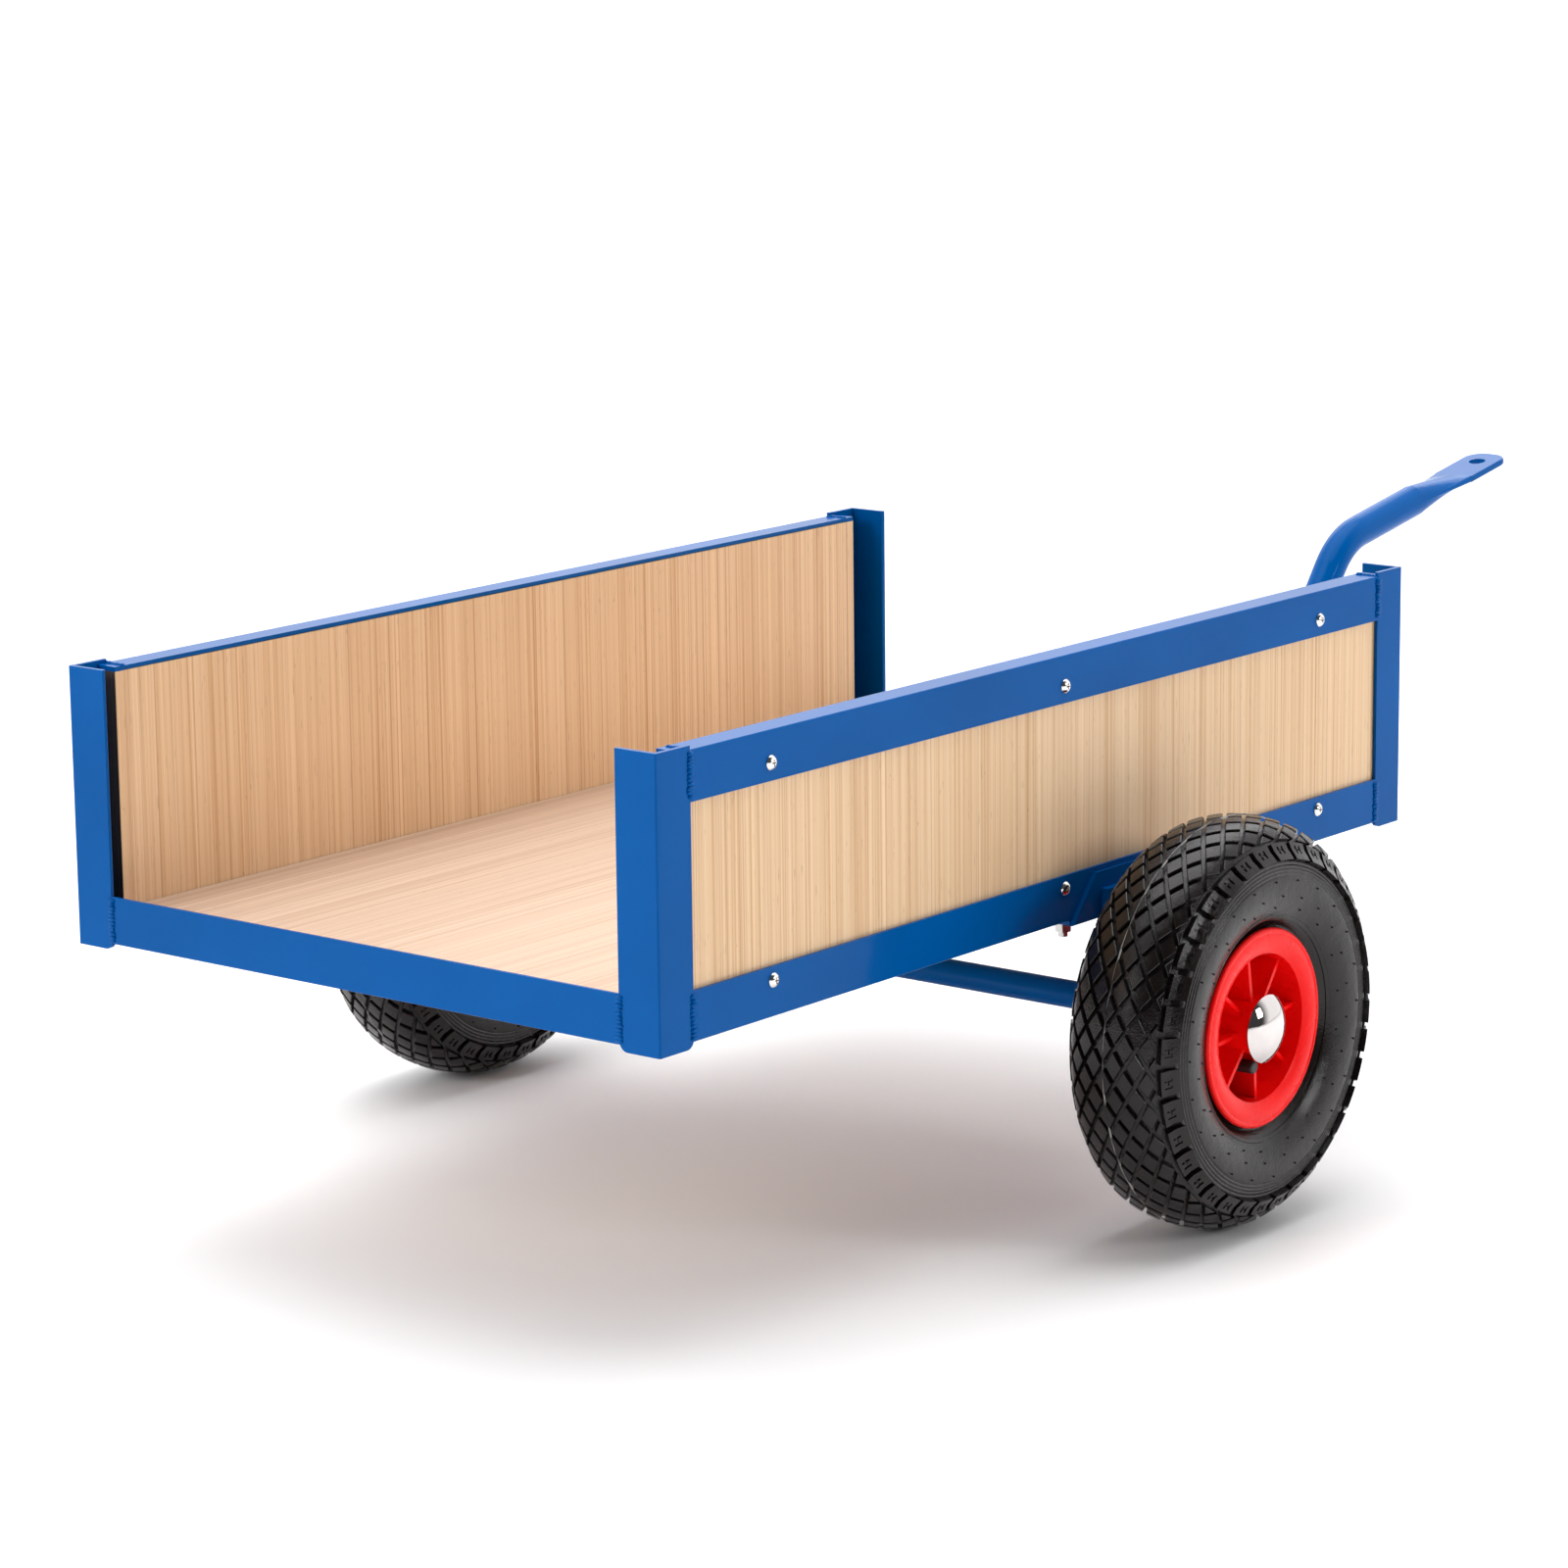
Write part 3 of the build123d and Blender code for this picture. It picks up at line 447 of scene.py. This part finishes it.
def casing_outline():
    """Closed section of the casing, with feet and a cavity inside."""
    half = []
    for step in range(OUTLINE_STEPS + 1):
        distance = REACH[-1] * step / OUTLINE_STEPS
        point, outward = skin(distance)
        half.append(point + outward * (ring_at(distance) - depth_at(distance)))
    half += [Vector(p) for p in FOOT_SHAPE]
    return [*half, *[Vector((-p.x, p.y)) for p in reversed(half) if abs(p.x) > 1e-4]]


def make_casing(side, hub):
    bm = bmesh.new()
    spin_outline(bm, casing_outline(), hub)
    piece = finish_piece(bm, f"tyre_casing_{side}", f"wheel_{side}", "tyre_rubber", 50.0)
    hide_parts(f"tyre_{side}")


def raise_blocks(bm, height):
    """Make every loose flat face into a closed block, and give back the tops."""
    bmesh.ops.recalc_face_normals(bm, faces=bm.faces)
    raised = bmesh.ops.extrude_face_region(bm, geom=list(bm.faces), use_keep_orig=True)["geom"]
    bmesh.ops.translate(bm, verts=only(bmesh.types.BMVert, raised), vec=(0, 0, height + ROOT))
    bmesh.ops.translate(bm, verts=bm.verts, vec=(0, 0, -ROOT))
    bmesh.ops.recalc_face_normals(bm, faces=bm.faces)
    return only(bmesh.types.BMFace, raised)


def lay_lattice(bm):
    """Diamonds side by side over the flat tread, cut straight at both shoulders."""
    cells = PITCHES + 8          # enough to cover the tread, with some to cut away
    bmesh.ops.create_grid(bm, x_segments=cells, y_segments=cells, size=cells / 2)
    lattice = Matrix(((DIAMOND_WIDTH / 2, DIAMOND_WIDTH / 2, 0, 0),
                      (ROUND_PITCH / 2, -ROUND_PITCH / 2, 0, PITCHES / 2 * ROUND_PITCH),
                      (0, 0, 1, 0), (0, 0, 0, 1)))
    bmesh.ops.transform(bm, matrix=lattice, verts=bm.verts)
    for sign in (-1, 1):
        bmesh.ops.bisect_plane(bm, geom=[*bm.verts, *bm.edges, *bm.faces], dist=0.01, clear_outer=True,
                               plane_co=(sign * COLUMNS * DIAMOND_WIDTH, 0, 0), plane_no=(sign, 0, 0))
    slack = 0.1
    last = PITCHES * ROUND_PITCH - slack
    spare = [face for face in bm.faces
             if not -slack <= face.calc_center_bounds().y < last or face.calc_area() < STRAY_AREA]
    bmesh.ops.delete(bm, geom=spare, context="FACES")


def make_diamonds(side, hub):
    """Tread blocks with chamfered tops, parted by crossing grooves."""
    bm = bmesh.new()
    lay_lattice(bm)
    gaps = bmesh.ops.inset_individual(bm, faces=bm.faces, thickness=GROOVE / 2, use_even_offset=True)["faces"]
    bmesh.ops.delete(bm, geom=gaps, context="FACES")
    tops = raise_blocks(bm, TREAD_DEPTH)
    rims = [vert for face in tops for vert in face.verts]
    bmesh.ops.inset_individual(bm, faces=tops, thickness=CHAMFER, use_even_offset=True)
    bmesh.ops.translate(bm, verts=rims, vec=(0, 0, -CHAMFER_DROP))
    edges = [edge for face in tops for edge in face.edges]
    bmesh.ops.subdivide_edges(bm, edges=edges, cuts=2, use_grid_fill=True)
    wrap(bm, hub)
    finish_piece(bm, f"tread_blocks_{side}", f"wheel_{side}", "tyre_rubber", 30.0)


def lay_lug(bm, flank, index):
    """One lug's flat outline, as a grid of five by five."""
    cells = len(LUG_ACROSS) - 1
    for vert in bmesh.ops.create_grid(bm, x_segments=cells, y_segments=cells, size=0.5)["verts"]:
        column = round((vert.co.x + 0.5) * cells)
        row = round((vert.co.y + 0.5) * cells)
        slant = LUG_SLANT * (column / cells - 0.5)
        vert.co = Vector((flank * LUG_ACROSS[column], (index + LUG_ROUND[row]) * ROUND_PITCH + slant, 0))


def in_slots(face):
    """Whether a lug's top face lies in its pair of slots or in the groove that joins them."""
    middle = face.calc_center_bounds()
    column = sum(abs(middle.x) > limit for limit in LUG_ACROSS[1:])
    off = abs(round(middle.y / ROUND_PITCH * 100) % 100 - LUG_MIDDLE)
    return (1 <= column <= 3 and JOINER_HALF < off < SLOT_OUTER) or (column == 2 and off <= JOINER_HALF)


def make_lugs(side, hub):
    """Shoulder lugs, each with a pair of slots joined in the middle."""
    bm = bmesh.new()
    for flank in (-1, 1):
        for index in range(PITCHES):
            lay_lug(bm, flank, index)
    slots = [face for face in raise_blocks(bm, TREAD_DEPTH + LUG_RISE) if in_slots(face)]
    pressed = bmesh.ops.extrude_face_region(bm, geom=slots)["geom"]
    bmesh.ops.translate(bm, verts=only(bmesh.types.BMVert, pressed), vec=(0, 0, -SLOT_DEPTH))
    bmesh.ops.delete(bm, geom=slots, context="FACES")
    wrap(bm, hub)
    finish_piece(bm, f"shoulder_lugs_{side}", f"wheel_{side}", "tyre_rubber", 30.0)


def make_seam(side, hub):
    """Thin flash left by the two halves of the mould."""
    half, foot, rise = 0.55, 0.6, 0.3
    bm = bmesh.new()
    spin_outline(bm, [(-half, CROWN_R - foot), (0, CROWN_R + rise), (half, CROWN_R - foot)], hub)
    finish_piece(bm, f"mould_seam_{side}", f"wheel_{side}", "tyre_rubber", 60.0, worn=1.0)


def make_nibs(side, hub):
    """Short spews left by the mould's vents, in rings on the sidewalls."""
    bm = bmesh.new()
    for flank in (-1, 1):
        for distance, count, phase in NIB_RINGS:
            point, outward = skin(flank * distance)
            for index in range(count):
                stray = 0.25 * noise.noise((index, distance, flank))
                turn = Matrix.Rotation(-(index + phase + stray) * 2 * math.pi / count, 4, "X")
                out = turn @ Vector((outward.x, 0, outward.y))
                foot = hub + MM * (turn @ Vector((point.x, 0, point.y))) + out * NIB_LIFT
                stand = Matrix.Translation(foot) @ out.to_track_quat("Z", "Y").to_matrix().to_4x4()
                bmesh.ops.create_cone(bm, cap_ends=True, segments=6, radius1=NIB_FOOT, radius2=NIB_TIP,
                                      depth=NIB_LENGTH, matrix=stand)
    finish_piece(bm, f"vent_nibs_{side}", f"wheel_{side}", "tyre_rubber", 60.0)


for side in SIDES:
    low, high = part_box(f"hub_bushes_{side}")
    hub = (low + high) / 2
    for make in (make_casing, make_diamonds, make_lugs, make_seam, make_nibs):
        make(side, hub)


# ---------------------------------------------------------------- weld beads
RIPPLE_STEP = 2.4 * MM
SIDE_BEAD, CROSS_BEAD, TOP_BEAD = 5.5 * MM, 5.0 * MM, 4.0 * MM     # widths
BEAD_INSET = 1.0 * MM            # beads stop this far from a leg's edge
SIDE_REACH, CROSS_REACH, TOP_REACH = 28 * MM, 29 * MM, 17 * MM     # from the same edge to the far end


def add_bead(bm, start, end, out, width, seed):
    """A row of overlapping, uneven ripples along a joint."""
    start, end, out = Vector(start), Vector(end), Vector(out)
    length = (end - start).length
    along = (end - start) / length
    side = along.cross(out)
    count = max(3, round(length / RIPPLE_STEP))
    for index in range(count):
        share = (index + 0.5) / count
        wobble = noise.noise_vector((seed * 7.3, index * 0.9, 1.7))
        centre = start + along * (share * length + 0.4 * MM * wobble.x) + side * (0.7 * MM * wobble.y)
        spread = width * (1.1 + 0.45 * wobble.z)
        height = width * (0.62 + 0.34 * wobble.y)
        axes = Matrix((along * (width * 0.62), side * spread, out * height)).transposed().to_4x4()
        bmesh.ops.create_icosphere(bm, subdivisions=2, radius=0.5, matrix=Matrix.Translation(centre) @ axes)


def make_welds():
    """Four beads at each post: two upright on the outside, one on the cross member, one on top."""
    bm = bmesh.new()
    seed = 0
    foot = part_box("bottom_rail_right")[0].z
    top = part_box("top_rail_right")[1].z
    half_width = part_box("bottom_rail_right")[1].x
    cross_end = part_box("front_cross_member")[1].x
    for end, toward in ENDS:
        low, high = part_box(f"{end}_post_right")
        face, seam = (high.y, low.y) if toward > 0 else (low.y, high.y)
        for sign in SIDES.values():
            outside, inside = sign * half_width, sign * cross_end
            beads = (
                ((outside, seam, foot + BEAD_INSET), (outside, seam, foot + SIDE_REACH),
                 (sign, 0, 0), SIDE_BEAD),
                ((outside, seam, top - SIDE_REACH), (outside, seam, top - BEAD_INSET),
                 (sign, 0, 0), SIDE_BEAD),
                ((inside, face, foot + BEAD_INSET), (inside, face, foot + CROSS_REACH),
                 (0, toward, 0), CROSS_BEAD),
                ((outside - sign * TOP_REACH, seam, top), (outside - sign * BEAD_INSET, seam, top),
                 (0, 0, 1), TOP_BEAD),
            )
            for bead in beads:
                seed += 1
                add_bead(bm, *bead, seed)
    finish_piece(bm, "weld_beads", "cart", "blue_paint", 80.0)


make_welds()


# ---------------------------------------------------------------- studio
LIGHTS = (                       # name, place, aim, width, height, power
    ("overhead_softbox", (-0.1, 0.15, 2.6), (0, 0, 0.2), 2.6, 2.6, 46.0),
    ("backdrop_softbox", (-5.5, 7.0, 4.5), (-5.5, 7.0, 0), 9.0, 9.0, 420.0),
    ("key_softbox", (-0.7, -3.2, 1.5), (0, 0, 0.2), 0.7, 0.8, 27.0),
    ("fill_softbox", (3.2, 0.5, 1.3), (0, 0.1, 0.2), 0.7, 0.9, 24.0),
)
CAMERA_PLACE = (1.9776, -2.7036, 0.9091)
CAMERA_TURN = (38.77, 11.79, -0.64)      # azimuth, elevation and roll, in degrees
LENS = 113.85
DARK_WALL = (0.80, -0.55, 0.24)          # direction of the dark stretch
FLOOR_HALF = 30.0
FLOOR_DROP = 0.5 * MM


def link(thing):
    bpy.context.scene.collection.objects.link(thing)


def make_floor():
    bm = bmesh.new()
    bmesh.ops.create_grid(bm, x_segments=1, y_segments=1, size=FLOOR_HALF,
                          matrix=Matrix.Translation((0, 0, -FLOOR_DROP)))
    mesh = bpy.data.meshes.new("studio_floor")
    bm.to_mesh(mesh)
    bm.free()
    pale = Finish("pale_floor", Roughness=0.75)
    tone = pale.noise(0.8, 2.0)
    pale.set("Base Color", pale.ramp(tone, (0.3, (0.93, 0.93, 0.93)), (0.7, (0.95, 0.95, 0.95))))
    mesh.materials.append(pale.material)
    floor = bpy.data.objects.new("studio_floor", mesh)
    link(floor)


def add_softbox(name, place, aim, width, height, power):
    data = bpy.data.lights.new(name, "AREA")
    data.shape = "RECTANGLE"
    data.size = width
    data.size_y = height
    data.energy = power
    box = bpy.data.objects.new(name, data)
    box.location = place
    box.rotation_mode = "QUATERNION"
    box.rotation_quaternion = (Vector(aim) - Vector(place)).to_track_quat("-Z", "Y")
    link(box)


def make_world():
    """Pale studio with a dark stretch of wall to one side. The camera itself sees an even pale wall."""
    world = bpy.data.worlds.new("studio")
    world.use_nodes = True
    studio = Nodes(world.node_tree)
    background = studio.tree.nodes["Background"]
    direction = studio.node("ShaderNodeTexCoord", output="Generated")
    toward = studio.node("ShaderNodeVectorMath", {"operation": "DOT_PRODUCT"}, {0: direction, 1: DARK_WALL},
                         output="Value")
    glow = studio.node("ShaderNodeMapRange", {"interpolation_type": "SMOOTHSTEP"},
                       {"Value": toward, "From Min": 0.25, "From Max": 0.65, "To Min": 1.32, "To Max": 0.06})
    seen = studio.node("ShaderNodeLightPath", output="Is Camera Ray")
    strength = studio.node("ShaderNodeMix", sockets={"Factor": seen, "A": glow, "B": 1.05}, output="Result")
    studio.feed(background.inputs["Strength"], strength)
    studio.feed(background.inputs["Color"], (1.0, 1.0, 1.0, 1.0))
    bpy.context.scene.world = world


def make_camera():
    data = bpy.data.cameras.new("camera")
    data.sensor_width = 36.0
    data.lens = LENS
    data.clip_end = 100.0
    camera = bpy.data.objects.new("camera", data)
    azimuth, elevation, roll = (math.radians(angle) for angle in CAMERA_TURN)
    back = Vector((math.sin(azimuth) * math.cos(elevation), -math.cos(azimuth) * math.cos(elevation),
                   math.sin(elevation)))
    camera.location = CAMERA_PLACE
    camera.rotation_mode = "QUATERNION"
    camera.rotation_quaternion = back.to_track_quat("Z", "Y") @ Matrix.Rotation(roll, 3, "Z").to_quaternion()
    link(camera)
    bpy.context.scene.camera = camera


make_floor()
make_world()
for light in LIGHTS:
    add_softbox(*light)
make_camera()
bpy.context.scene.view_settings.view_transform = "Standard"
